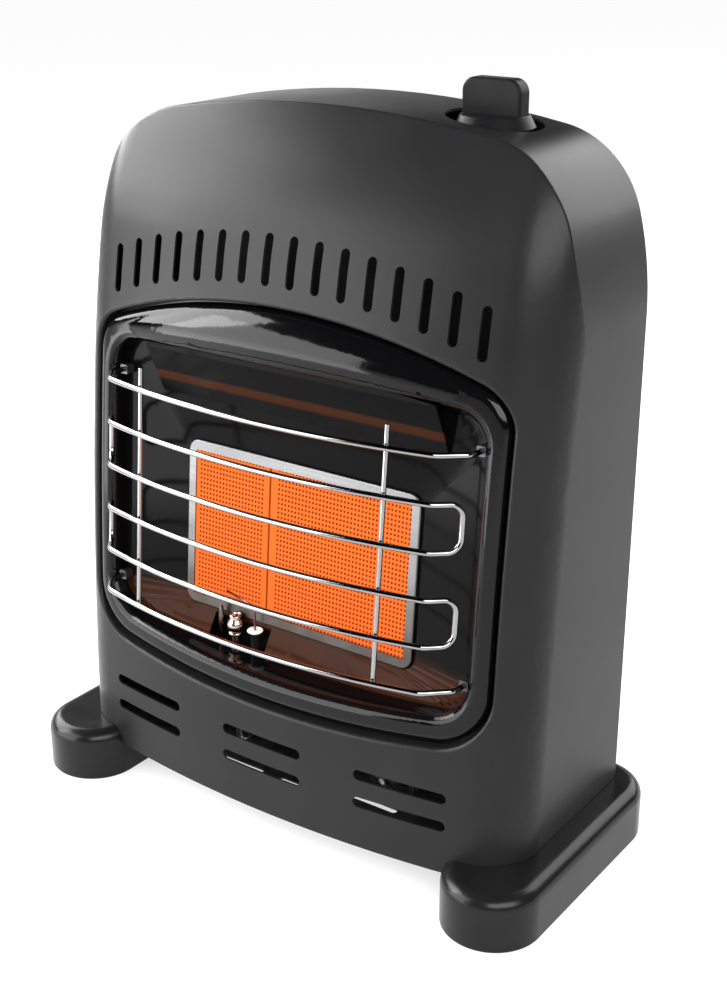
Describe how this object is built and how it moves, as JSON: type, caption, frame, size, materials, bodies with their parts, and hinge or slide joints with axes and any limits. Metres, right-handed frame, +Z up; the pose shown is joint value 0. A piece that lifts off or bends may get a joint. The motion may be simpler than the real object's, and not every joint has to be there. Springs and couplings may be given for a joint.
{
  "type": "portable gas cabinet heater",
  "caption": "Upright gas cabinet heater with a bowed casing, arched louvres, glowing ceramic plaque burner behind a wire guard, a push-and-turn knob on top and wide side feet.",
  "frame": {"origin": "on the floor, in the middle of the heater's footprint", "axes": "+Z up, -Y towards the front where the heat leaves, +X to the heater's right seen from the front"},
  "size_m": [0.3894, 0.194, 0.477],
  "materials": {
    "casing_black": "satin black powder coat",
    "bezel_black": "gloss black enamel",
    "firebox_black": "gloss black enamel, heat-resisting",
    "foot_black": "satin black moulded plastic",
    "knob_black": "satin black moulded plastic",
    "guard_chrome": "bright plated wire",
    "burner_steel": "satin stainless sheet",
    "tile_ceramic": "glowing orange in use; bare cordierite when cold",
    "gasket_grey": "pressed ceramic-fibre strip",
    "galvanised_steel": "plain galvanised sheet",
    "inner_black": "matt black paint",
    "brass": "machined brass",
    "tube_aluminium": "drawn tube",
    "copper_lead": "black sleeved lead",
    "screw_steel": "zinc-plated steel",
    "valve_alloy": "die-cast alloy",
    "pilot_chrome": "bright plated steel",
    "igniter_ceramic": "white glazed ceramic"
  },
  "bodies": {
    "housing": {"front_shell": "casing_black", "rear_panel": "casing_black", "rear_panel_screws": "screw_steel", "base_pan": "inner_black", "foot_left": "foot_black", "foot_right": "foot_black", "foot_screws": "screw_steel", "bezel_frame": "bezel_black", "firebox_pan": "firebox_black", "pan_screws": "screw_steel", "top_deflector": "firebox_black", "burner_frame": "burner_steel", "ceramic_tile_left": "tile_ceramic", "ceramic_tile_right": "tile_ceramic", "burner_gasket": "gasket_grey", "burner_plenum": "galvanised_steel", "mixer_tube": "galvanised_steel", "gas_injector": "brass", "injector_bracket": "galvanised_steel", "burner_bracket_left": "galvanised_steel", "burner_bracket_right": "galvanised_steel", "burner_screws": "screw_steel", "guard_top_wire": "guard_chrome", "guard_upper_loop": "guard_chrome", "guard_lower_loop": "guard_chrome", "guard_bottom_wire": "guard_chrome", "guard_upright_left": "guard_chrome", "guard_upright_right": "guard_chrome", "guard_clips": "firebox_black", "heat_shield": "galvanised_steel", "shield_screws": "screw_steel", "hot_air_deflector": "galvanised_steel", "valve_body": "valve_alloy", "valve_bracket": "galvanised_steel", "valve_screws": "screw_steel", "gas_inlet_fitting": "brass", "inlet_locknut": "brass", "supply_tube": "tube_aluminium", "burner_tube": "tube_aluminium", "pilot_tube": "tube_aluminium", "tube_nuts": "brass", "pilot_bracket": "inner_black", "pilot_burner": "pilot_chrome", "thermocouple": "pilot_chrome", "igniter_insulator": "igniter_ceramic", "igniter_electrode": "screw_steel", "thermocouple_lead": "tube_aluminium", "igniter_lead": "copper_lead"},
    "push_rod": {"push_rod": "screw_steel"},
    "knob": {"valve_stem": "brass", "control_knob": "knob_black"}
  },
  "joints": [
    {"name": "knob_press", "type": "slide", "parent": "housing", "child": "push_rod", "axis": [0, 0, -1], "range_m": [0, 0.004], "stiffness_N_per_m": 900, "springref_m": -0.004},
    {"name": "knob_turn", "type": "hinge", "parent": "push_rod", "child": "knob", "pos_m": [0.089, 0.0402, 0.43], "axis": [0, 0, 1], "range_deg": [0, 135]}
  ]
}
